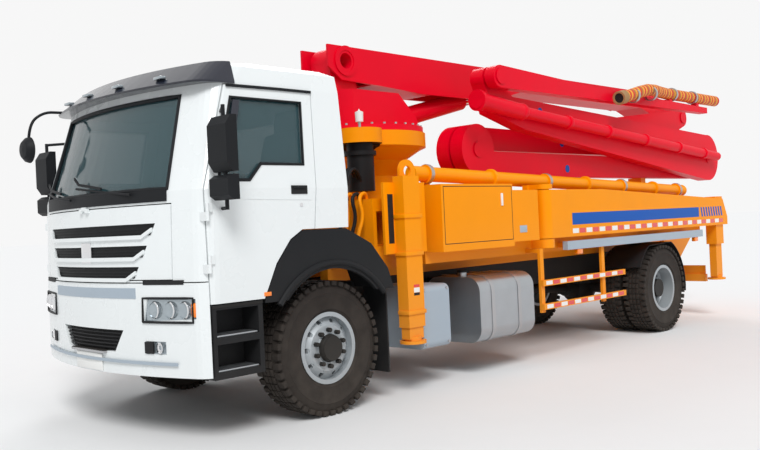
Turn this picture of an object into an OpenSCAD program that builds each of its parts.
// Truck-mounted concrete pump with a five-section folding boom, parked with the boom stowed.
// Millimetres, +X forward, +Y to the left, +Z up, ground at z = 0.
// Inside the modules x is measured from the front axle; place() moves it to the middle of the truck.

/* [Chassis] */
// Distance between the axles
wheelbase = 5450; // [5200:10:5900]
// Outer diameter of every tyre
tyre_d = 1060; // [1020:5:1090]
// Width of a front tyre
front_tyre_w = 290; // [260:5:310]
// Width of one rear tyre
rear_tyre_w = 280; // [250:5:290]
// Diameter of the rim where the tyre seats
rim_d = 520; // [500:5:560]
// Distance between the middles of the front tyres
front_track = 2022; // [1990:2:2060]
// Distance between the middles of a pair of rear tyres
dual_pitch = 330; // [325:1:350]
// Distance between the middles of the left and right rear pairs
rear_track = 1830; // [1815:1:1840]
// Height of the top of the frame rails
frame_top = 980; // [960:5:1000]
// Depth of a frame rail
rail_h = 280; // [240:5:300]
// Width over the two frame rails
rail_span = 860; // [820:5:880]
// Width of a rail flange
rail_flange = 80; // [60:5:100]
// Thickness of the rail steel
rail_t = 10; // [8:1:14]

/* [Cab] */
// Width of the cab
cab_w = 2480; // [2440:5:2520]
// Distance from the front axle to the middle of the front panel
cab_front = 1420; // [1400:5:1460]
// Height of the roof
cab_top = 2740; // [2700:5:2790]
// Height of the cab's lower edge
cab_bottom = 985; // [980:5:1010]
// Height of the lower edge of the windscreen
belt_z = 1780; // [1750:5:1800]
// Thickness of the cab walls and doors
wall = 60; // [40:5:70]
// Thickness of the glass
glass_t = 8; // [6:1:12]
// Gap round the doors and the front flap
panel_gap = 8; // [6:1:12]

/* [Pump body] */
// Width over the tool boxes and outrigger arms
body_w = 2480; // [2450:5:2520]
// Height of the deck's upper face
deck_z = 1245; // [1230:5:1260]
// Height of the tool box lids
toolbox_top = 1810; // [1760:5:1840]
// Outer diameter of the delivery pipe
pipe_d = 140; // [120:5:150]
// Depth of the rear outrigger arm at its pin
arm_h = 500; // [440:10:520]
// Thickness of the rear outrigger arm
arm_w = 190; // [160:5:195]
// Width of the hopper
hopper_w = 1000; // [900:10:1020]

/* [Boom] */
// Height of the boom's root pin
root_z = 3060; // [3040:5:3100]
// Length of the first section between its pins
boom_1_len = 6690; // [6500:10:6800]
// Length of the third section between its pins
boom_3_len = 5150; // [5000:10:5250]
// Length of the fifth section
boom_5_len = 4800; // [4500:10:4900]
// Width of the first section
boom_1_w = 400; // [360:5:440]
// Width of each of the other sections
boom_w = 160; // [140:5:180]
// Free space between two sections lying side by side
boom_gap = 30; // [20:1:40]
// Diameter of the boom's hinge pins
boom_pin_d = 120; // [100:2:140]

/* [Hidden] */

$fn = 64;
eps = 0.01;
seat = 0.3;        // gap at which fixed curved faces lie against each other
slide = 0.5;       // gap of a pin in its bore or a slide in its guide
swing = 8;         // free space kept round a moving piece

white = "#f2f3f3";
orange = "#ff9800";
red = "#f0102c";
black = "#1c1d1f";
steel = "#b9bec3";
grey = "#8d9aa3";
rubber = "#2b2724";
glass_tint = "#3c5a60";

tyre_r = tyre_d / 2;
rear_x = -wheelbase;

// Frame and its origin
frame_front = 1040;
frame_rear = rear_x - 1480;
rail_bottom = frame_top - rail_h;
rail_y = rail_span / 2;

// Boom joints: x and z of each pin, and the side layers the sections lie in
root_x = -1210;
pin_a = [root_x, root_z];
pin_b = [root_x - boom_1_len, root_z - 210];
pin_c = [-2710, root_z - 845];
pin_d = [pin_c[0] - boom_3_len, root_z - 840];
pin_e = [-2700, root_z - 125];
layer_1 = boom_1_w / 2;
layer_2 = layer_1 + boom_gap;
layer_3 = layer_2 + boom_w + boom_gap;
layer_4 = layer_3 + boom_w + boom_gap;
layer_5 = layer_4 + boom_w + boom_gap;
boom_5_w = 120;
nose_r = 270;       // round end at pin c
tail_r = 330;       // round end of section 4 at pin d
tail_3_r = 290;     // round end of section 3 at pin d
tip_r = 115;        // round end at pin e

// The truck's middle lies halfway between the front panel and the boom's rear end
front_axle_x = (-pin_d[0] + tail_r - cab_front) / 2;

// Slewing gear
slew_x = -1600;
slew_z = root_z - 690;
slew_r = 600;

// Helpers
module place() { translate([front_axle_x, 0, 0]) children(); }
module both() {
  children();
  mirror([0, 1, 0]) children();
}
// Stretches an outline in x and z from y0 to y1
module side(y0, y1) { translate([0, y1, 0]) rotate([90, 0, 0]) linear_extrude(y1 - y0) children(); }
// Stretches an outline in y and z from x0 to x1
module across(x0, x1) { translate([x0, 0, 0]) rotate([90, 0, 90]) linear_extrude(x1 - x0) children(); }
module box(lo, hi) { translate(lo) cube(hi - lo); }
module pin_y(p, d, y0, y1) { translate([p[0], y0, p[1]]) rotate([-90, 0, 0]) cylinder(d = d, h = y1 - y0); }
module pin_z(x, y, d, z0, z1) { translate([x, y, z0]) cylinder(d = d, h = z1 - z0); }
module pin_x(y, z, d, x0, x1) { translate([x0, y, z]) rotate([0, 90, 0]) cylinder(d = d, h = x1 - x0); }
module disc(p, r) { translate(p) circle(r = r); }
// A round bar between two points
module rod(a, b, d) {
  v = b - a;
  translate(a) rotate([0, acos(v[2] / norm(v)), atan2(v[1], v[0])]) cylinder(d = d, h = norm(v));
}

// Chassis

cross_x = [frame_front - 50, -1000, -1900, -2900, -4100, rear_x + 620, rear_x - 620, frame_rear + 120];
cross_h = 70;
spring_y = rail_y;      // middle of the leaf springs
spring_w = 80;
kingpin_y = 880;
kingpin_d = 50;
axle_z = tyre_r;
beam_z = axle_z - 60;   // middle of the front axle beam
tow_pin_d = 40;
tow_z = rail_bottom + 120;
bracket_x = [-1280, -2000, -2520];
bracket_end = rail_y + 120;

module rail() {
  across(frame_rear, frame_front)
    difference() {
      translate([rail_y - rail_flange, rail_bottom]) square([rail_flange, rail_h]);
      translate([rail_y - rail_flange - eps, rail_bottom + rail_t])
        square([rail_flange - rail_t + eps, rail_h - 2 * rail_t]);
    }
}

module frame() {
  color(black) {
    both() rail();
    for (x = cross_x)
      box([x - 45, -rail_y + rail_t / 2, frame_top - rail_t - cross_h],
          [x + 45, rail_y - rail_t / 2, frame_top - rail_t]);
    // Jaw for the tow pin at the front crossmember
    difference() {
      box([frame_front - 95, -120, tow_z - 80], [frame_front + 140, 120, frame_top - rail_t]);
      box([frame_front + 20, -121, tow_z - 30], [frame_front + 141, 121, tow_z + 30]);
      pin_z(frame_front + 80, 0, tow_pin_d, tow_z - 100, frame_top);
    }
    // Brackets that carry the tanks and the battery box
    both() for (x = bracket_x)
      box([x - 25, rail_y - eps, rail_bottom + 20], [x + 25, bracket_end, frame_top - 60]);
  }
}

// A stack of leaves, bowed downwards at the axle, with a hanger at each end
module spring(x, half, camber, base, leaf_t) {
  r = (half * half + camber * camber) / (2 * camber);
  side(spring_y - spring_w / 2, spring_y + spring_w / 2)
    intersection() {
      difference() {
        disc([x, base + r], r);
        disc([x, base + r], r - leaf_t);
      }
      translate([x - half, base - 10]) square([2 * half, camber + leaf_t + 8]);
    }
  for (s = [-1, 1])
    side(spring_y - spring_w / 2 + 10, spring_y + spring_w / 2 - 20)
      polygon([[x + s * (half - 90), rail_bottom], [x + s * (half + 40), rail_bottom],
               [x + s * (half + 10), base + camber], [x + s * (half - 60), base + camber]]);
}

front_spring_z = axle_z + 30;
rear_spring_z = axle_z + 78;

module front_axle() {
  color(black) {
    // Forged beam with a dropped middle and an eye for each kingpin
    difference() {
      union() {
        across(-45, 45)
          polygon([[-kingpin_y, beam_z + 30], [-560, beam_z - 20], [-520, beam_z - 60], [520, beam_z - 60],
                   [560, beam_z - 20], [kingpin_y, beam_z + 30], [kingpin_y, beam_z + 110],
                   [540, beam_z + 50], [-540, beam_z + 50], [-kingpin_y, beam_z + 110]]);
        both() pin_z(0, kingpin_y, 96, eye_low, eye_high);
      }
      both() pin_z(0, kingpin_y, kingpin_d, beam_z - 100, beam_z + 300);
      for (s = [-1, 1]) translate([s * 45, 0, 0]) box([-18, -500, beam_z - 30], [18, 500, beam_z + 22]);
    }
    both() {
      box([-110, spring_y - spring_w / 2, beam_z + 49], [110, spring_y + spring_w / 2, front_spring_z + 2]);
      spring(0, 760, 60, front_spring_z, 60);
    }
  }
}
eye_low = beam_z + 20;
eye_high = beam_z + 110;

diff_r = 230;
axle_tube_d = 150;
stub_d = axle_tube_d - 20;
rear_axle_end = rear_track / 2 - dual_pitch / 2 - 20;

module rear_axle() {
  color(black) {
    translate([rear_x, 0, axle_z]) sphere(r = diff_r);
    pin_y([rear_x, axle_z], axle_tube_d, -rear_axle_end, rear_axle_end);
    pin_y([rear_x, axle_z], stub_d, -rear_y - 30, rear_y + 30);
    translate([rear_x, 0, axle_z]) rotate([0, 90, 0]) cylinder(r1 = 170, r2 = 100, h = 340);
    both() {
      box([rear_x - 90, spring_y - spring_w / 2, axle_z],
          [rear_x + 90, spring_y + spring_w / 2, rear_spring_z + 2]);
      spring(rear_x, 720, 22, rear_spring_z, 60);
    }
  }
}

shaft_d = 100;

// The engine block under the cab, the gearbox behind it and the shaft to the rear axle
module driveline() {
  color(black) {
    box([-150, -320, 640], [860, 320, 1160]);
    side(-160, 160) polygon([[-150, 700], [-150, 1080], [-820, 930], [-820, 760]]);
    rod([-815, 0, 820], [rear_x + 345, 0, axle_z], shaft_d);
    both() box([200, 319, 720], [300, rail_y - rail_t, 800]);
  }
}

// Wheels

rim_r = rim_d / 2;
rim_lip = 22;
front_y = front_track / 2;
rear_y = rear_track / 2;
drum_r = 200;
spindle_d = 80;

// A tyre with rounded shoulders, its middle at y
module tyre(x, y, w) {
  h = w / 2;
  translate([x, y, axle_z]) rotate([90, 0, 0])
    rotate_extrude($fn = 96)
      polygon([[rim_r + seat, -h + 48], [rim_r + 60, -h + 8], [rim_r + 140, -h], [tyre_r - 70, -h + 12],
               [tyre_r - 22, -h + 22], [tyre_r - 6, -h + 55], [tyre_r, -30], [tyre_r, 30],
               [tyre_r - 6, h - 55], [tyre_r - 22, h - 22], [tyre_r - 70, h - 12], [rim_r + 140, h],
               [rim_r + 60, h - 8], [rim_r + seat, h - 48]]);
}

// The rim's barrel with its two lips
module rim(w) {
  h = w / 2;
  rotate_extrude($fn = 96)
    polygon([[rim_r - 12, -h + 18], [rim_r + rim_lip, -h + 18], [rim_r + rim_lip, -h + 22],
             [rim_r, -h + 40],
             [rim_r, h - 40], [rim_r + rim_lip, h - 22], [rim_r + rim_lip, h - 18], [rim_r - 12, h - 18]]);
}

hand_holes = 10;
// The wheel disc, dished from its seat on the rim at z = 0 to its bolting face at z = dish
module wheel_disc(dish) {
  t = 16;
  low_out = dish > 0 ? rim_r - 32 : rim_r - 14;
  low_in = dish > 0 ? 170 : 190;
  difference() {
    rotate_extrude($fn = 96)
      polygon([[120, dish], [180, dish], [rim_r - 16, t + 4], [rim_r - 11, t], [rim_r - 11, -4],
               [low_out, -4],
               [low_in, dish - t], [120, dish - t]]);
    for (i = [0 : hand_holes - 1])
      rotate(360 / hand_holes * i) {
        translate([rim_r - 54, 0, -300]) cylinder(d = 38, h = 600);
        translate([rim_r - 46, 0, -300]) cylinder(d = 38, h = 600);
      }
  }
}

// A front wheel, its disc bulging outwards, with its brake drum and hub
module front_wheel() {
  translate([0, front_y, axle_z]) rotate([-90, 0, 0]) {
    rim(front_tyre_w);
    translate([0, 0, 50]) wheel_disc(70);
    difference() {
      union() {
        translate([0, 0, 30]) cylinder(r = 150, h = 90);
        translate([0, 0, -90]) cylinder(r = drum_r, h = 194 + 1);
        translate([0, 0, 110]) cylinder(r1 = 120, r2 = 95, h = 70);
      }
      translate([0, 0, -91]) cylinder(r = drum_r - 20, h = 121);
      translate([0, 0, 29]) cylinder(d = spindle_d + 2 * slide, h = 120);
    }
  }
}

// A pair of rear wheels on one hub, the outer one deep-dished
module rear_pair() {
  translate([rear_x, rear_y, axle_z]) rotate([-90, 0, 0]) {
    for (s = [-1, 1]) translate([0, 0, s * dual_pitch / 2]) rim(rear_tyre_w);
    translate([0, 0, dual_pitch / 2 - 40]) wheel_disc(-100);
    translate([0, 0, -dual_pitch / 2 + 40]) rotate([180, 0, 0]) wheel_disc(-100);
    difference() {
      union() {
        translate([0, 0, -12]) cylinder(r = 180, h = 24);
        translate([0, 0, -150]) cylinder(r = 130, h = 300);
        translate([0, 0, -140]) cylinder(r = 165, h = 105);
        translate([0, 0, 140]) cylinder(r = 110, h = 90);
      }
      translate([0, 0, -151]) cylinder(d = stub_d + 2 * slide, h = 200);
    }
  }
}

module tyre_front_left() { color(rubber) tyre(0, front_y, front_tyre_w); }
module tyre_front_right() { color(rubber) tyre(0, -front_y, front_tyre_w); }
module tyres_rear(s) {
  color(rubber) for (k = [-1, 1]) tyre(rear_x, s * rear_y + k * dual_pitch / 2, rear_tyre_w);
}
module wheel_front_left() { color(steel) front_wheel(); }
module wheel_front_right() { color(steel) mirror([0, 1, 0]) front_wheel(); }
module wheels_rear_left() { color(steel) rear_pair(); }
module wheels_rear_right() { color(steel) mirror([0, 1, 0]) rear_pair(); }

// A steering knuckle: a fork round the beam's eye, its kingpin, the brake plate and the spindle
module knuckle() {
  fork_y = kingpin_y + 96 / 2 + swing;
  difference() {
    union() {
      pin_z(0, kingpin_y, 100, eye_low - 45, eye_high + 45);
      box([-50, kingpin_y, eye_low - 45], [50, fork_y + 24, eye_high + 45]);
    }
    box([-80, kingpin_y - 80, eye_low - 5], [80, fork_y, eye_high + 5]);
  }
  pin_z(0, kingpin_y, kingpin_d - 2 * slide, eye_low - 10, eye_high + 10);
  pin_y([0, axle_z], 2 * (drum_r - 20 - swing), fork_y + 10, fork_y + 22);
  pin_y([0, axle_z], spindle_d, fork_y + 10, front_y + 140);
  // Steering arm
  box([-190, kingpin_y - 60, eye_low - 45], [-40, kingpin_y - 10, eye_low - 15]);
}
module knuckle_left() { color(black) knuckle(); }
module knuckle_right() { color(black) mirror([0, 1, 0]) knuckle(); }

// Cab

front_curve = 0.000163;     // how fast the front falls back towards the corners, per mm
arch_top = 1470;
door_top = 2530;
roof_line = door_top + panel_gap;
cab_half = cab_w / 2;
nose_bottom = 1146;

// Each slice: height, front at the middle, rear, half width, corner radius
cab_slices = [
  [cab_bottom, cab_front, -150, cab_half, 150],
  [belt_z, cab_front - 25, -185, cab_half, 160],
  [roof_line + 5, cab_front - 270, -225, cab_half - 110, 180],
  [cab_top - 60, cab_front - 420, -228, cab_half - 145, 180],
  [cab_top, cab_front - 640, -190, cab_half - 290, 180]
];

// Outline of the cab seen from above at one slice, pulled in by inset
function cab_outline(s, inset) =
  let (xf = s[1] - inset, xr = s[2] + inset, hw = s[3] - inset, rc = s[4],
       a0 = atan(2 * front_curve * (hw - 0.67 * rc)), yt = hw - rc * (1 - sin(a0)),
       xt = xf - front_curve * yt * yt, n = 8, m = 5)
  concat(
    [for (i = [-n : n]) let (y = yt * i / n) [xf - front_curve * y * y, y]],
    [for (i = [1 : m]) let (a = a0 + (90 - a0) * i / m)
      [xt + rc * (cos(a) - cos(a0)), yt + rc * (sin(a) - sin(a0))]],
    [[xr, hw], [xr, -hw]],
    [for (i = [m : -1 : 1]) let (a = a0 + (90 - a0) * i / m)
      [xt + rc * (cos(a) - cos(a0)), -yt - rc * (sin(a) - sin(a0))]]
  );

module slice(s, inset) { translate([0, 0, s[0]]) linear_extrude(eps) polygon(cab_outline(s, inset)); }

// The whole cab as a solid, pulled in by inset on every side
module cab_form(inset) {
  last = len(cab_slices) - 1;
  for (i = [0 : last - 1])
    hull() {
      slice(cab_slices[i], inset);
      slice([for (k = [0 : 4]) cab_slices[i + 1][k] - (k == 0 && i + 1 == last ? inset : 0)], inset);
    }
}

module cab_shell(outer, inner) {
  difference() {
    cab_form(outer);
    translate([0, 0, -1]) cab_form(inner);
  }
}

// Line of the front wheel arch under the cab, from its front foot to the rear
arch_line = [[680, cab_bottom], [560, 1230], [420, 1400], [300, arch_top]];
door_front = 1130;
door_front_top = 870;
door_rear = 180;
door_rear_top = 70;

// The door's edge, grown by g
module door_edge(g) {
  polygon([[door_front + g, cab_bottom - g], [door_front + g, belt_z], [door_front_top + g, door_top + g],
           [door_rear_top - g, door_top + g], [door_rear - g, arch_top - g], [300 - g, arch_top - g],
           [420 - g, 1400 - g], [560 - g, 1230 - g], [680 - g, cab_bottom - g]]);
}

// The side window, shrunk by g
module window_edge(g) {
  polygon([[1010 - g, 1840 + g], [1010 - g, 1905 - g / 2], [835 - g, 2440 - g], [185 + g, 2440 - g],
           [240 + g, 1960 + g], [640 - g, 1960 + g], [760, 1840 + g]]);
}

windscreen_low = belt_z + 20;
windscreen_high = 2470;
module windscreen_edge(g) {
  polygon([[-930 + g, windscreen_low + g], [930 - g, windscreen_low + g], [850 - g, windscreen_high - g],
           [-850 + g, windscreen_high - g]]);
}

flap_half = 960;
flap_low = 1165;
flap_high = 1690;
flap_t = 45;
flap_hinge = [cab_front - 10, flap_high];   // x and z of the flap's hinge
hinge_d = 24;
module flap_edge(g) {
  translate([-flap_half - g, flap_low - g]) square([2 * (flap_half + g), flap_high - flap_low + 2 * g]);
}

// Hinge barrels of the doors stand in pairs one above the other, the cab's below the door's
door_hinge = [door_front + panel_gap / 2, cab_half + 2];
door_hinge_z = [1200, 1560];
barrel_h = 60;
module hinge_barrel(z, x0, x1) {
  pin_z(door_hinge[0], door_hinge[1], hinge_d, z, z + barrel_h);
  box([x0, cab_half - 55, z], [x1, door_hinge[1] + 4, z + barrel_h]);
}

module cab_nose() {
  color(white) {
    difference() {
      intersection() {
        cab_shell(0, wall);
        side(-2000, 2000)
          polygon([[door_front + panel_gap, nose_bottom], [door_front + panel_gap, belt_z],
                   [door_front_top + panel_gap, roof_line], [2000, roof_line], [2000, nose_bottom]]);
      }
      across(700, 2000) windscreen_edge(0);
      across(700, 2000) flap_edge(panel_gap);
    }
    both() for (z = door_hinge_z)
      hinge_barrel(z, door_front + panel_gap, door_front + panel_gap + 25);
    // Middle barrel of the flap's hinge
    pin_y(flap_hinge, 20, -25, 25);
    box([flap_hinge[0] - 10, -25, flap_high], [flap_hinge[0] + 10, 25, flap_high + 22]);
    box([flap_hinge[0] - 32, -25, flap_high + panel_gap], [flap_hinge[0], 25, flap_high + 22]);
  }
}

module cab_back() {
  color(white)
    difference() {
      intersection() {
        cab_shell(0, wall);
        side(-2000, 2000)
          polygon([[-1000, arch_top], [door_rear - panel_gap, arch_top],
                   [door_rear_top - panel_gap, roof_line],
                   [-1000, roof_line]]);
      }
      across(-1000, -wall) rear_window(0);
    }
}

module cab_roof() {
  color(white)
    intersection() {
      cab_shell(0, wall);
      box([-1000, -2000, roof_line], [2000, 2000, cab_top + 10]);
    }
}

// The windscreen and the pane in the rear wall
module windscreen() {
  color(glass_tint)
    intersection() {
      cab_shell(12, 12 + glass_t);
      union() {
        across(900, 2000) windscreen_edge(seat);
        across(-1000, -wall) rear_window(seat);
      }
    }
}
module rear_window(g) { translate([-420 + g, 1980 + g]) square([840 - 2 * g, 400 - 2 * g]); }

module visor_block() {
  hull() {
    slice([roof_line + 4, cab_front - 158, 600, cab_half - 105, 180], 0);
    slice([roof_line + 18, cab_front - 150, 600, cab_half - 105, 180], 0);
    slice([cab_top - 30, cab_front - 350, 600, cab_half - 150, 180], 0);
  }
}
module sun_visor() {
  color(black)
    difference() {
      visor_block();
      cab_form(-seat);
      box([0, -2000, 0], [780, 2000, 4000]);
    }
}

// Grille slots: middle height and half width of each
grille_slots = [[1520, 820], [1365, 740], [1215, 655]];
slot_h = 84;
slot_depth = 24;
module grille_slot(z, half) {
  polygon([[-half, z + slot_h / 2], [-half + 45, z - slot_h / 2], [half - 45, z - slot_h / 2],
           [half, z + slot_h / 2]]);
}

module front_flap() {
  color(white) {
    difference() {
      intersection() {
        cab_shell(0, flap_t);
        across(1000, 2000) flap_edge(0);
      }
      intersection() {
        cab_shell(-5, slot_depth);
        across(1000, 2000) for (s = grille_slots) grille_slot(s[0], s[1]);
      }
    }
    // Outer barrels of its hinge
    both() {
      pin_y(flap_hinge, 20, 25 + slide, 65);
      box([flap_hinge[0] - 10, 25 + slide, flap_high - 22], [flap_hinge[0] + 10, 65, flap_high]);
      box([flap_hinge[0] - 32, 25 + slide, flap_high - 22], [flap_hinge[0], 65, flap_high - panel_gap]);
    }
  }
}

module door(s) {
  color(white) {
    difference() {
      intersection() {
        cab_shell(0, wall);
        side(s > 0 ? 0 : -2000, s > 0 ? 2000 : 0) door_edge(0);
      }
      side(-2000, 2000) window_edge(0);
    }
    mirror([0, s > 0 ? 0 : 1, 0]) for (z = door_hinge_z)
      hinge_barrel(z + barrel_h + slide, door_front - 35, door_front);
  }
}
module door_glass(s) {
  color(glass_tint)
    intersection() {
      cab_shell(20, 20 + glass_t);
      side(s > 0 ? 0 : -2000, s > 0 ? 2000 : 0) window_edge(seat);
    }
}

floor_t = 40;
tunnel_half = 365;
tunnel_top = 1215;
module cab_floor() {
  hw = cab_half - wall - 40;
  color(black) {
    difference() {
      side(-hw, hw)
        polygon(concat([[door_front - 40, cab_bottom]], arch_line,
                       [[-111, arch_top], [-111, arch_top + floor_t], [320, arch_top + floor_t],
                        [450, 1400 + floor_t], [600, 1230 + floor_t / 2], [705, cab_bottom + floor_t],
                        [door_front - 40, cab_bottom + floor_t]]));
      box([400, -tunnel_half + 20, 900], [920, tunnel_half - 20, 1195]);
    }
    difference() {
      box([540, -tunnel_half, cab_bottom], [1060, tunnel_half, tunnel_top]);
      box([500, -tunnel_half + 20, 900], [920, tunnel_half - 20, 1195]);
    }
    // Cab mounts on the frame rails
    both() {
      box([960, rail_y - 70, frame_top], [1060, rail_y, cab_bottom + 1]);
      box([-85, rail_y - 70, frame_top], [-25, rail_y, arch_top + 1]);
    }
  }
}

seat_y = 640;
module cab_interior() {
  color(black) {
    both() {
      // Seat: base, cushion, back and head rest
      box([20, seat_y - 180, arch_top + floor_t], [380, seat_y + 180, 1620]);
      side(seat_y - 250, seat_y + 250)
        polygon([[-40, 1610], [470, 1640], [480, 1700], [430, 1730], [60, 1700], [-60, 2250],
                 [-140, 2250], [-100, 1640]]);
      side(seat_y - 140, seat_y + 140) polygon([[-75, 2240], [-130, 2240], [-150, 2440], [-90, 2440]]);
    }
    // Dashboard
    side(-cab_half + wall + 90, cab_half - wall - 90)
      polygon([[940, 1500], [1050, 1440], [1100, 1440], [1100, 1740], [1000, 1760], [920, 1700]]);
    box([970, -200, tunnel_top], [1050, 200, 1485]);
    // Steering column and wheel
    rod([950, seat_y, 1600], [690, seat_y, 1760], 70);
    translate([690, seat_y, 1760]) rotate([0, -58, 0])
      rotate_extrude() translate([215, 0]) circle(d = 34);
    translate([690, seat_y, 1760]) rotate([0, -58, 0]) for (a = [0, 120, 240])
      rotate(a) translate([0, -20, -8]) cube([215, 40, 16]);
  }
}

// Door mirrors: two heads on a bar, with an arm to the door at each end
mirror_x = 1060;
mirror_y = cab_half + 130;
mirror_low = 1640;
mirror_high = 2330;
module door_mirror() {
  color(black) {
    rod([mirror_x, mirror_y, mirror_low - 12], [mirror_x, mirror_y, mirror_high + 12], 28);
    difference() {
      union() {
        rod([1000, cab_half - 20, mirror_low], [mirror_x, mirror_y, mirror_low], 24);
        rod([905, cab_half - 120, mirror_high], [mirror_x, mirror_y, mirror_high], 24);
      }
      cab_form(-seat);
    }
    mirror_head(2075, 380);
    mirror_head(1780, 170);
  }
}
module mirror_head(z, h) {
  side(mirror_y - 110, mirror_y + 110)
    polygon([[mirror_x - 30, z - h / 2], [mirror_x + 20, z - h / 2], [mirror_x + 62, z - h / 3],
             [mirror_x + 62, z + h / 3], [mirror_x + 20, z + h / 2], [mirror_x - 30, z + h / 2]]);
}

// Bumper, lamps and steps

bumper_low = 480;
bumper_high = 1138;
bumper_t = 110;
bumper_end = door_front + panel_gap;
lamp_z = [870, 1030];
lamp_in = 690;          // inner end of a headlamp
lamp_out = 1150;        // outer end of a headlamp
fog_z = [640, 730];
intake_z = [640, 800];
front_slice = [0, cab_front, -150, cab_half, 150];

// A band of the front, from inset a to inset b
module front_band(a, b, z0, z1) {
  translate([0, 0, z0])
    linear_extrude(z1 - z0)
      difference() {
        polygon(cab_outline(front_slice, a));
        polygon(cab_outline(front_slice, b));
        translate([-2000, -2000]) square([2000 + bumper_end, 4000]);
      }
}
module lamp_boxes(g) {
  both() {
    across(900, 2000) polygon([[lamp_in - g, lamp_z[0] - g], [lamp_out + g, lamp_z[0] + 20 - g],
                               [lamp_out + g, lamp_z[1] + g], [lamp_in + 40 - g, lamp_z[1] + g]]);
    across(900, 2000) translate([lamp_in + 10 - g, fog_z[0] - g]) square([190 + 2 * g,
        fog_z[1] - fog_z[0] + 2 * g]);
  }
}
module bumper() {
  color(white) {
    difference() {
      front_band(0, bumper_t, bumper_low, bumper_high);
      lamp_boxes(0);
      // Air intake
      across(900, 2000)
        polygon([[-470, intake_z[1]], [-363, intake_z[0]], [363, intake_z[0]], [470, intake_z[1]]]);
    }
    // Brackets to the frame rails
    both() box([frame_front, rail_y - 70, 760], [cab_front - bumper_t - 25, rail_y, 900]);
  }
}
module lamps() {
  color(glass_tint)
    intersection() {
      front_band(10, bumper_t - 20, bumper_low, bumper_high);
      lamp_boxes(-seat);
    }
}

step_x = [700, door_front - 2];
step_low = 462;
step_in = cab_half - 260;
step_out = cab_half - 6;
module steps() {
  color(black) both() {
    difference() {
      box([step_x[0], step_in, step_low], [step_x[1], step_out, cab_bottom - panel_gap]);
      for (z = [step_low + 50, step_low + 290])
        box([step_x[0] + 40, step_in + 60, z], [step_x[1] - 30, step_out + 1, z + 190]);
    }
    // Hangers to the frame rail
    for (x = [step_x[0] + 60, step_x[1] - 210])
      box([x, rail_y, 770], [x + 60, step_in + 1, 830]);
  }
}

// Front mudguards with their flaps
arch_r = 625;
guard_in = 760;
guard_out = cab_half - 4;
flap_x = -660;
module mudguards() {
  color(black) both() {
    difference() {
      union() {
        side(guard_out - 36, guard_out) arch_band(0);
        side(guard_in, guard_out) difference() {
          arch_band(0);
          arch_band(20);
        }
      }
      side(guard_in - 1, guard_out + 1) disc([0, axle_z], arch_r);
    }
    box([flap_x, 880, 240], [flap_x + 15, 1150, 1000]);
    // Stay to the frame rail
    box([flap_x + 5, rail_y, 960], [flap_x + 60, guard_in + 30, 1000]);
  }
}
module arch_band(g) {
  e = g + panel_gap;
  polygon(concat([[arch_line[0][0] - e, 952]], [for (p = arch_line) p - [e, e]],
                 [[-150, arch_top - e], [-420, 1330 - g], [-600 + g, 1120 - g], [flap_x + g, 952]]));
}

// Tanks on the left and right of the frame
module soft_box(x0, x1, y0, y1, z0, z1, r) {
  across(x0, x1) {
    translate([y0 + r, z0]) square([y1 - y0 - 2 * r, z1 - z0]);
    translate([y0, z0 + r]) square([y1 - y0, z1 - z0 - 2 * r]);
    for (y = [y0 + r, y1 - r], z = [z0 + r, z1 - r]) translate([y, z]) circle(r = r);
  }
}
tank_x = [-2690, -1830];
battery_x = [-1460, -1100];
module tanks() {
  color(steel) both() {
    soft_box(tank_x[0], tank_x[1], bracket_end, cab_half - 30, 320, 940, 140);
    pin_z(tank_x[1] - 130, 900, 90, 930, 975);
    soft_box(battery_x[0], battery_x[1], bracket_end, cab_half - 90, 360, 920, 60);
  }
}

// Pump body

body_half = body_w / 2;
sub_top = frame_top + 120;      // top of the subframe's longerons
deck_half = body_half - arm_w - 30;
deck_t = 25;
deck_front = -1310;
deck_rear = frame_rear;
deck_low = sub_top;

arm_pin_x = -3050;
arm_pin_d = 110;
arm_out = body_half - 5;
arm_in = arm_out - arm_w;
arm_y = (arm_in + arm_out) / 2;
arm_low = deck_z + 5;
arm_top = arm_low + arm_h;
lug_t = 50;
lug_top = arm_top + swing + lug_t;

module deck() {
  color(orange) {
    both() {
      box([deck_rear, rail_y - 100, frame_top], [-650, rail_y, sub_top]);
      box([deck_rear, deck_half - 60, deck_low], [deck_front, deck_half, deck_z - deck_t + eps]);
      // Post and lugs of the rear outrigger's pin
      box([arm_pin_x - 120, deck_half - 60, deck_z - eps], [arm_pin_x + 120, deck_half, lug_top]);
      for (z = [arm_low - swing - 90, arm_top + swing]) {
        t = z < arm_low ? 90 : lug_t;
        pin_z(arm_pin_x, arm_y, arm_w - 10, z, z + t);
        box([arm_pin_x - 90, deck_half - 1, z], [arm_pin_x + 90, arm_y, z + t]);
      }
      pin_z(arm_pin_x, arm_y, arm_pin_d, arm_low - swing - 90, lug_top);
    }
    for (i = [0 : 7]) {
      x = deck_front - 80 + (deck_rear + 120 - deck_front) * i / 7;
      box([x - 40, -deck_half, deck_low], [x + 40, deck_half, deck_z - deck_t + eps]);
    }
    box([deck_rear, -deck_half, deck_z - deck_t], [deck_front, deck_half, deck_z]);
    // Rest for the stowed boom
    box([rest_x - 60, layer_3 - 60, deck_z - eps], [rest_x + 60, layer_3 + boom_w - 30, rest_z]);
  }
}
rest_x = rear_x - 850;
rest_z = root_z - 1130 - seat;

toolbox_in = 640;
module toolboxes() {
  color(orange) both() {
    box([-2370, toolbox_in, deck_z], [deck_front, body_half, toolbox_top]);
    box([-2830, toolbox_in + 60, deck_z], [-2370, body_half - 25, toolbox_top - 60]);
    box([-2370, deck_half + 10, deck_z - 40], [deck_front, body_half, deck_z + eps]);
  }
}

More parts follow.
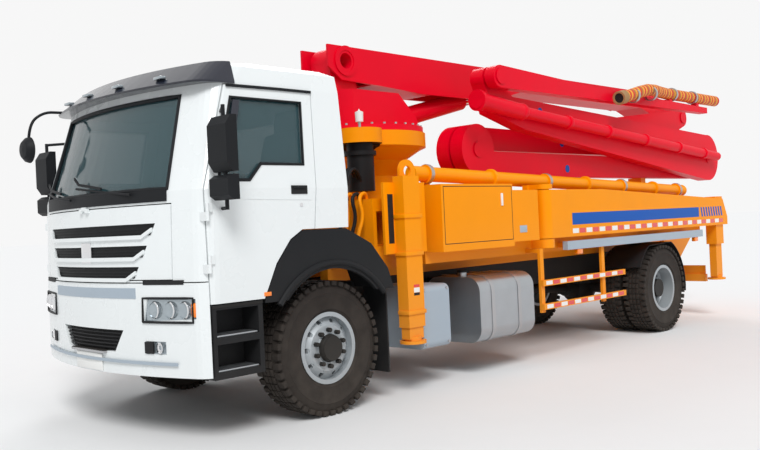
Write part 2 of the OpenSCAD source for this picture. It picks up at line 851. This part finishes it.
// Front outriggers
house_x = [-1230, -690];
house_half = 1000;
house_low = sub_top;
house_top = 1700;
beam_h = 300;
beam_d = 210;
beam_low = house_low + 190;
beam_x = [house_x[0] + 145, house_x[1] - 145];     // middle of the left and right beams
leg_x = -920;
leg_w = 200;
leg_d = 120;
plate_y = house_half + 100;
plate_t = 25;
leg_y = plate_y + plate_t + leg_d / 2;
leg_wall = 12;
foot_z = 450;
front_leg_top = 1880;

module outrigger_housing() {
  color(orange)
    difference() {
      box([house_x[0], -house_half, house_low], [house_x[1], house_half, house_top]);
      for (x = beam_x)
        box([x - beam_d / 2 - slide, -house_half - 1, beam_low - slide],
            [x + beam_d / 2 + slide, house_half + 1, beam_low + beam_h + slide]);
    }
}

// A sliding beam with its end plate, lifting lug and leg barrel, for the left side at x
module outrigger_beam(x) {
  difference() {
    box([x - beam_d / 2, -house_half + 100, beam_low], [x + beam_d / 2, plate_y + 1, beam_low + beam_h]);
    box([x - beam_d / 2 + 15, -house_half + 99, beam_low + 15],
        [x + beam_d / 2 - 15, plate_y - 100, beam_low + beam_h - 15]);
  }
  difference() {
    side(plate_y, plate_y + plate_t)
      union() {
        translate([house_x[0] + 10, house_low + 120]) square([house_x[1] - house_x[0] - 20, 730 - 120]);
        disc([lug_x, lug_z], 100);
        translate([lug_x - 100, lug_z - 120]) square([200, 120]);
      }
    pin_y([lug_x, lug_z], lug_hole_d, plate_y - 1, plate_y + plate_t + 1);
  }
  leg_barrel(leg_x, leg_y, foot_z + 140, front_leg_top);
}
lug_x = -1010;
lug_z = 1930;
lug_hole_d = 90;

module leg_barrel(x, y, z0, z1) {
  difference() {
    box([x - leg_w / 2, y - leg_d / 2, z0], [x + leg_w / 2, y + leg_d / 2, z1]);
    box([x - leg_w / 2 + leg_wall, y - leg_d / 2 + leg_wall, z0 - 1],
        [x + leg_w / 2 - leg_wall, y + leg_d / 2 - leg_wall, z1 - leg_wall]);
  }
}
// The inner leg with its foot
module leg(x, y, z0, z1) {
  w = leg_w / 2 - leg_wall - slide;
  d = leg_d / 2 - leg_wall - slide;
  box([x - w, y - d, z0 + 40], [x + w, y + d, z1 - leg_wall - 20]);
  pin_z(x, y, 150, z0 + 20, z0 + 60);
  pin_z(x, y, 230, z0, z0 + 25);
}

module beam_left() { color(orange) outrigger_beam(beam_x[0]); }
module beam_right() { color(orange) mirror([0, 1, 0]) outrigger_beam(beam_x[1]); }
module leg_front(s) { color(orange) leg(leg_x, s * leg_y, foot_z, front_leg_top); }

// Rear outriggers
rear_leg_x = rear_x - 1670;
rear_foot_z = 505;
arm_end = rear_leg_x - 210;
arm_tip_h = 355;
rear_leg_top = arm_low + arm_tip_h + 30;
module outrigger_arm() {
  difference() {
    union() {
      side(arm_in, arm_out)
        polygon([[arm_pin_x, arm_low], [arm_pin_x, arm_top], [arm_pin_x - 1000, arm_top],
                 [rear_leg_x - 20, arm_low + arm_tip_h], [rear_leg_x - 80, arm_low + arm_tip_h],
                 [arm_end, arm_low + 110], [arm_end, arm_low]]);
      pin_z(arm_pin_x, arm_y, arm_w, arm_low, arm_top);
      box([rear_leg_x - leg_w / 2 - 12, arm_y - leg_d / 2 - 12, arm_low - 260],
          [rear_leg_x + leg_w / 2 + 12, arm_y + leg_d / 2 + 12, rear_leg_top]);
    }
    pin_z(arm_pin_x, arm_y, arm_pin_d + 2 * slide, arm_low - 1, arm_top + 1);
    box([rear_leg_x - leg_w / 2 + leg_wall, arm_y - leg_d / 2 + leg_wall, arm_low - 261],
        [rear_leg_x + leg_w / 2 - leg_wall, arm_y + leg_d / 2 - leg_wall, rear_leg_top - leg_wall]);
  }
}
module arm_left() { color(orange) outrigger_arm(); }
module arm_right() { color(orange) mirror([0, 1, 0]) outrigger_arm(); }
module leg_rear(s) { color(orange) leg(rear_leg_x, s * arm_y, rear_foot_z, rear_leg_top); }

// Side guards under the deck and the grey rails beneath the arms
guard_y = body_half - 45;
guard_x = [rear_x + tyre_r + 120, -2850];
rail_x = [rear_x - 1080, arm_pin_x - 250];
module side_guards() {
  color(orange) both() {
    for (z = [530, 770]) box([guard_x[0] + 300, guard_y, z], [guard_x[1], guard_y + 28, z + 60]);
    for (x = [guard_x[1] - 60, guard_x[0] + 700]) {
      box([x, guard_y - 30, 500], [x + 60, guard_y + eps, deck_low + 50]);
      box([x, deck_half, deck_low + 10], [x + 60, guard_y, deck_low + 50]);
    }
    box([rail_x[0], body_half - 60, deck_z - 130], [rail_x[1], body_half, deck_z - 40]);
    for (i = [0 : 3]) {
      x = rail_x[0] + 150 + (rail_x[1] - rail_x[0] - 360) * i / 3;
      box([x, deck_half, deck_z - 110], [x + 60, body_half - 59, deck_z - 60]);
    }
  }
}

// Pedestal with the slewing gear's collar and motor
motor = [-1085, 470];
module pedestal() {
  color(orange) {
    translate([slew_x, 0, 0])
      rotate_extrude($fn = 96)
        polygon([[0, deck_z], [350, deck_z], [350, 1480], [330, slew_z - 610], [330, slew_z - 420],
                 [400, slew_z - 270],
                 [560, slew_z - 170], [slew_r + 20, slew_z - 145], [slew_r + 20, slew_z - 5],
                 [0, slew_z - 5]]);
    translate([slew_x, 0, deck_z]) box([-480, -480, 0], [285, 480, 60]);
    pin_z(motor[0], motor[1], 420, slew_z - 140, slew_z - 5);
    pin_z(motor[0], motor[1], 250, slew_z - 580, slew_z - 135);
    pin_z(motor[0], motor[1], 300, slew_z - 250, slew_z - 210);
  }
}

// Concrete line along the left of the deck
pipe_y = 860;
pipe_start = [-1340, pipe_y, toolbox_top + 122];
pipe_end = [rear_x - 1300, pipe_y, deck_z + 495];
module delivery_pipe() {
  color(orange) {
    rod(pipe_start, pipe_end, pipe_d);
    for (t = [0.04, 0.4, 0.7, 0.97]) {
      p = pipe_start + (pipe_end - pipe_start) * t;
      v = pipe_end - pipe_start;
      translate(p) rotate([0, acos(v[2] / norm(v)), atan2(v[1], v[0])]) cylinder(d = pipe_d + 36, h = 60,
          center = true);
      z0 = p[0] > -2370 ? toolbox_top : p[0] > -2830 ? toolbox_top - 60 : deck_z;
      box([p[0] - 20, pipe_y - 20, z0], [p[0] + 20, pipe_y + 20, p[2] - 30]);
    }
    // Bend at the rear down to the pump
    translate(pipe_end) sphere(d = pipe_d + 12);
    rod(pipe_end, [pipe_end[0] - 60, pipe_y - 330, deck_z + 240], pipe_d);
    translate([pipe_end[0] - 60, pipe_y - 330, deck_z + 240]) sphere(d = pipe_d + 12);
    rod([pipe_end[0] - 60, pipe_y - 330, deck_z + 240], [pipe_end[0] - 60, pipe_y - 330, deck_z], pipe_d);
  }
}

// Hopper at the rear end, open at the top, and its grate
hopper_front = frame_rear;
hopper_len = 880;
hopper_top = 1420;
hopper_low = 640;
hopper_t = 12;
module hopper_form(g) {
  hw = hopper_w / 2;
  intersection() {
    side(-hw - 1, hw + 1)
      polygon([[hopper_front - g, hopper_top], [hopper_front - hopper_len + g, hopper_top],
               [hopper_front - hopper_len + g, 1150], [hopper_front - 620 + g, hopper_low + g],
               [hopper_front - 160 - g, hopper_low + g], [hopper_front - g, 900]]);
    across(hopper_front - hopper_len - 1, hopper_front + 1)
      polygon([[-hw + g, hopper_top], [-hw + g, 1080], [-hw + 160 + g, hopper_low + g],
               [hw - 160 - g, hopper_low + g],
               [hw - g, 1080], [hw - g, hopper_top]]);
  }
}
underrun_x = frame_rear - 260;
module hopper() {
  color(orange) {
    difference() {
      hopper_form(0);
      translate([0, 0, 1]) hopper_form(hopper_t);
    }
    // Ears for the grate's hinge pin
    for (x = [hopper_front - hopper_len + 10, hopper_front - 22])
      difference() {
        box([x, -hopper_w / 2, hopper_top - 2], [x + 12, -grate_half + 20, grate_z + 24]);
        pin_x(-grate_half, grate_z + 6, grate_pin_d + 2 * slide, x - 1, x + 13);
      }
    // Mounting plate against the ends of the frame rails
    box([hopper_front - hopper_t, -480, rail_bottom - 20], [hopper_front, 480, deck_z]);
    // Under-run bar with its stays and the lamp boards
    both() {
      box([underrun_x, 380, 540], [frame_rear, 430, 760]);
      box([underrun_x, 420, 470], [underrun_x + 60, 980, 570]);
      box([underrun_x, 640, 560], [underrun_x + 25, 960, 690]);
    }
    box([underrun_x, -421, 470], [underrun_x + 60, 421, 570]);
  }
}
grate_half = hopper_w / 2 - 25;
grate_z = hopper_top + swing;
grate_pin_d = 16;
grate_bars = 10;
module hopper_grate() {
  color(black) {
    for (i = [0 : grate_bars - 1]) {
      x = hopper_front - 30 - (hopper_len - 72) * i / (grate_bars - 1);
      box([x - 12, -grate_half, grate_z], [x, grate_half, grate_z + 30]);
    }
    for (i = [0 : 4]) {
      y = -grate_half + (2 * grate_half - 12) * i / 4;
      box([hopper_front - hopper_len + 30, y, grate_z], [hopper_front - 30, y + 12, grate_z + 30]);
    }
    pin_x(-grate_half, grate_z + 6, grate_pin_d, hopper_front - hopper_len + 11, hopper_front - 11);
  }
}

// Turret and boom

lift_base = [slew_x - 150, slew_z + 110];
lift_lug = [-3400, root_z - 170];
lift_barrel_d = 200;
lift_rod_d = 110;
tongue_half = boom_1_w / 2 - 60;
ear_bore_d = 200;
cheek_top = root_z - 290;

module turret() {
  color(red) {
    difference() {
      translate([slew_x, 0, slew_z - 5 + slide]) cylinder(r = slew_r, h = 60, $fn = 96);
      translate([slew_x, 0, slew_z - 6]) box([-450, -lift_slot, 61 - 30], [-40, lift_slot, 100]);
    }
    difference() {
      intersection() {
        translate([slew_x, 0, slew_z + 50]) cylinder(r = slew_r - 40, h = cheek_top - slew_z - 50,
            $fn = 96);
        side(-slew_r, slew_r)
          polygon([[slew_x + 600, slew_z], [slew_x + 540, cheek_top], [slew_x - 180, cheek_top],
                   [slew_x - 420, slew_z + 180],
                   [slew_x - 520, slew_z]]);
        box([slew_x - 700, -340, slew_z], [slew_x + 700, 340, root_z]);
      }
      box([slew_x - 700, -lift_slot, slew_z + 45], [slew_x + 110, lift_slot, root_z]);
    }
    // Neck that carries the boom's root pin
    difference() {
      side(-tongue_half, tongue_half) {
        disc(pin_a, 150);
        polygon([[root_x + 148, root_z - 20], [root_x + 170, slew_z + 60], [slew_x + 110, slew_z + 60],
                 [root_x - 148, root_z - 20]]);
      }
      pin_y(pin_a, pin_hole_d, -tongue_half - 1, tongue_half + 1);
    }
    // Hollow root pin
    difference() {
      pin_y(pin_a, ear_bore_d - 2 * slide, -layer_1 - 6, layer_1 + 6);
      pin_y(pin_a, pin_hole_d, -layer_1 - 10, layer_1 + 10);
    }
    // Pin of the lift cylinder
    pin_y(lift_base, lift_pin_d, -lift_slot - 20, lift_slot + 20);
  }
}
pin_hole_d = 150;
lift_slot = 125;
lift_pin_d = 80;

module boom_1() {
  top = root_z + 140;
  color(red) {
    difference() {
      union() {
        side(-layer_1, layer_1) {
          polygon([[root_x + 223, top], [root_x + 223, root_z - 70], [root_x + 60, root_z - 185],
                   [-1700, root_z - 205], [-2300, root_z - 240], [-3500, root_z - 235],
                   [-4050, root_z - 92],
                   [pin_b[0] + 900, root_z - 92], [pin_b[0] + 420, pin_b[1] - 20],
                   [pin_b[0] + 60, pin_b[1] - 116],
                   [pin_b[0], pin_b[1] - 130], [pin_b[0] - 90, pin_b[1] + 94],
                   [pin_b[0] + 250, root_z + 60],
                   [pin_b[0] + 700, top]]);
          disc(pin_b, 130);
        }
        both() pin_y(pin_a, 290, layer_1 - 1, layer_1 + 14);
      }
      side(-layer_1 + 25, layer_1 - 25)
        polygon([[-900, root_z + 300], [root_x - 220, root_z + 300], [root_x - 220, top - 22],
                 [pin_b[0] + 720, top - 22],
                 [pin_b[0] + 520, root_z + 60], [pin_b[0] + 620, root_z - 40],
                 [pin_b[0] + 900, root_z - 70],
                 [-4020, root_z - 70], [-3800, root_z - 400], [-2450, root_z - 400], [-2450, root_z - 212],
                 [root_x - 370, root_z - 180], [root_x - 370, root_z - 500], [-900, root_z - 500]]);
      pin_y(pin_a, ear_bore_d, -layer_1 - 50, layer_1 + 50);
    }
    both() pin_y(lift_lug, 90, lift_eye_half + 15, layer_1 - 24);
    pin_y(pin_b, boom_pin_d, layer_1 - 1, layer_2 + boom_w + 4);
    pin_y(pin_b, boom_pin_d + 40, layer_2 + boom_w + 4, layer_2 + boom_w + 14);
  }
}
lift_eye_half = 60;

// One of the outer sections: its outline between two side planes, with a bore for the pin it hangs on
// and a pin of its own for the next section
module boom_section(y0, w, bore_at, pin_at) {
  difference() {
    side(y0, y0 + w) children();
    pin_y(bore_at, boom_pin_d + 2 * slide, y0 - 1, y0 + w + 1);
  }
  if (pin_at != undef) {
    pin_y(pin_at, boom_pin_d, y0 + w - 1, y0 + w + boom_gap + boom_w + 4);
    pin_y(pin_at, boom_pin_d + 40, y0 + w + boom_gap + boom_w + 4, y0 + w + boom_gap + boom_w + 14);
  }
}

module boom_2() {
  color(red)
    boom_section(layer_2, boom_w, pin_b, pin_c) {
      disc(pin_b, 130);
      disc(pin_c, nose_r);
      polygon([[pin_c[0], pin_c[1] + nose_r], [pin_c[0] - 900, pin_c[1] + 265],
               [pin_b[0] + 60, pin_b[1] + 115],
               [pin_b[0] - 40, pin_b[1] - 124], [pin_b[0] + 700, pin_c[1] + 250], [-6000, pin_c[1] + 25],
               [pin_c[0] - 250, pin_c[1] + 15], [pin_c[0], pin_c[1]]]);
    }
}
module boom_3() {
  color(red)
    boom_section(layer_3, boom_w, pin_c, pin_d) {
      disc(pin_c, nose_r);
      disc(pin_d, tail_3_r);
      polygon([[pin_c[0], pin_c[1]], [pin_c[0] - 260, pin_c[1] - 15], [pin_d[0] + 280, pin_d[1] - 25],
               [pin_d[0], pin_d[1]],
               [pin_d[0], pin_d[1] - tail_3_r], [pin_c[0] - 500, pin_c[1] - 285],
               [pin_c[0], pin_c[1] - nose_r]]);
    }
}
pipe_4_y = layer_4 + boom_w + 85;
pipe_4_front = [pin_e[0] - 420, pipe_4_y, root_z - 460];
pipe_4_rear = [pin_d[0] - 100, pipe_4_y, pin_d[1] + 10];
module boom_4() {
  color(red) {
    boom_section(layer_4, boom_w, pin_d, undef) {
      disc(pin_d, tail_r);
      disc(pin_e, tip_r);
      polygon([[pin_d[0] + 40, pin_d[1] + tail_r - 3], [-3100, root_z - 290],
               [pin_e[0] - 112, pin_e[1] - 20],
               [pin_e[0], pin_e[1]], [pin_e[0] + 112, pin_e[1] - 20], [pin_e[0] - 20, root_z - 480],
               [-3300, root_z - 630], [pin_d[0] + 60, pin_d[1] - tail_r + 4]]);
    }
    pin_y(pin_e, boom_pin_d, layer_4 + boom_w - 1, layer_5 + boom_5_w + 4);
    pin_y(pin_e, boom_pin_d + 40, layer_5 + boom_5_w + 4, layer_5 + boom_5_w + 14);
    // Concrete line on the section's outer face
    rod(pipe_4_front, pipe_4_rear, pipe_d - 15);
    for (t = [0.02, 0.42, 0.8]) {
      p = pipe_4_front + (pipe_4_rear - pipe_4_front) * t;
      box([p[0] - 35, layer_4 + boom_w - 1, p[2] - 30], [p[0] + 35, pipe_4_y, p[2] + 30]);
    }
    // Swivel bend in front of the pin
    translate(pipe_4_front) sphere(d = pipe_d + 42);
    rod(pipe_4_front, [pin_e[0] + 330, pipe_4_y, root_z - 385], pipe_d + 30);
    pin_x(pipe_4_y, root_z - 387, pipe_d + 76, pin_e[0] + 290, pin_e[0] + 330);
  }
}
boom_5_top = root_z - 110;
boom_5_tip = pin_e[0] - boom_5_len;
module boom_5() {
  tip = boom_5_tip;
  color(red) {
    boom_section(layer_5, boom_5_w, pin_e, undef) {
      disc(pin_e, tip_r);
      polygon([[pin_e[0], pin_e[1] + tip_r], [pin_e[0] - 1900, boom_5_top + 12], [tip, boom_5_top - 40],
               [tip, boom_5_top - 120],
               [pin_e[0], pin_e[1] - tip_r]]);
    }
    // Saddles under the hose
    for (x = hose_saddle_x)
      box([x - 40, layer_5 + 20, boom_5_top - 60],
          [x + 40, layer_5 + boom_5_w - 20, hose_z - hose_d / 2 - seat]);
    // Outlet block at the tip
    box([tip - 60, layer_5, boom_5_top - 120], [tip + 1, layer_5 + boom_5_w, boom_5_top - 40]);
  }
}
hose_d = 150;
hose_y = layer_5 + boom_5_w / 2;
hose_z = root_z - 25;
hose_saddle_x = [boom_5_tip + 1000, boom_5_tip + 200];
// Points of the hose, its x measured from the tip of the last section
hose_points = [for (p = [[2550, 140, -180], [2300, 140, -130], [2050, 138, -70], [1800, 120, -22],
                         [1550, 80, -3], [1300, 30, 0], [1050, 0, 0], [-450, 0, 0]])
  [boom_5_tip, hose_y, hose_z] + p];
hose_sides = 16;
// A tube of n sides swept along points that run mainly along X
module swept_tube(points, d, n) {
  last = len(points) - 1;
  rings = [for (i = [0 : last])
    let (t = points[min(i + 1, last)] - points[max(i - 1, 0)], u = t / norm(t),
         v = cross(u, [0, 0, 1]) / norm(cross(u, [0, 0, 1])), w = cross(v, u))
      for (k = [0 : n - 1]) points[i] + d / 2 * (cos(360 * k / n) * v + sin(360 * k / n) * w)];
  sides = [for (i = [0 : last - 1], k = [0 : n - 1])
    [i * n + k, i * n + (k + 1) % n, (i + 1) * n + (k + 1) % n, (i + 1) * n + k]];
  polyhedron(rings, concat([[for (k = [n - 1 : -1 : 0]) k]], sides,
      [[for (k = [0 : n - 1]) last * n + k]]), convexity = 4);
}
module end_hose() { color(orange) swept_tube(hose_points, hose_d, hose_sides); }

// Lift cylinder: a barrel that tips on the turret and a rod that slides in it
lift_v = [lift_lug[0] - lift_base[0], lift_lug[1] - lift_base[1]];
lift_len = norm(lift_v);
lift_angle = atan2(lift_v[1], -lift_v[0]);
barrel_len = lift_len - 260;
// Turns pieces drawn along +X so that they lie from the base pin towards the boom
module along_lift() {
  translate([lift_base[0], 0, lift_base[1]]) rotate([0, 180 + lift_angle, 0]) children();
}
module lift_barrel() {
  color(red) along_lift()
    difference() {
      union() {
        pin_x(0, 0, lift_barrel_d, 60, barrel_len);
        pin_y([0, 0], 150, -lift_slot + 10, lift_slot - 10);
        box([0, -75, -75], [100, 75, 75]);
      }
      pin_y([0, 0], lift_pin_d + 2 * slide, -lift_slot, lift_slot);
      pin_x(0, 0, lift_rod_d + 2 * slide, 140, barrel_len + 1);
    }
}
module lift_rod() {
  color(steel) along_lift()
    difference() {
      union() {
        pin_x(0, 0, lift_rod_d, 160, lift_len - 60);
        pin_y([lift_len, 0], 150, -lift_eye_half, lift_eye_half);
      }
      pin_y([lift_len, 0], 92, -lift_eye_half - 1, lift_eye_half + 1);
    }
}

// The pieces
place() frame();
place() front_axle();
place() rear_axle();
place() driveline();
place() bumper();
place() lamps();
place() steps();
place() mudguards();
place() tanks();
place() side_guards();
place() deck();
place() toolboxes();
place() outrigger_housing();
place() pedestal();
place() delivery_pipe();
place() hopper();
place() cab_floor();
place() cab_nose();
place() cab_back();
place() cab_roof();
place() windscreen();
place() sun_visor();
place() cab_interior();
place() door(1);  // door_left
place() door(-1);  // door_right
place() door_glass(1);  // glass_left
place() door_glass(-1);  // glass_right
place() door_mirror();  // mirror_left
place() mirror([0, 1, 0]) door_mirror();  // mirror_right
place() front_flap();
place() hopper_grate();
place() knuckle_left();
place() knuckle_right();
place() tyre_front_left();
place() tyre_front_right();
place() tyres_rear(1);  // tyres_rear_left
place() tyres_rear(-1);  // tyres_rear_right
place() wheel_front_left();
place() wheel_front_right();
place() wheels_rear_left();
place() wheels_rear_right();
place() beam_left();
place() beam_right();
place() leg_front(1);  // leg_front_left
place() leg_front(-1);  // leg_front_right
place() arm_left();
place() arm_right();
place() leg_rear(1);  // leg_rear_left
place() leg_rear(-1);  // leg_rear_right
place() turret();
place() boom_1();
place() boom_2();
place() boom_3();
place() boom_4();
place() boom_5();
place() lift_barrel();
place() lift_rod();
place() end_hose();
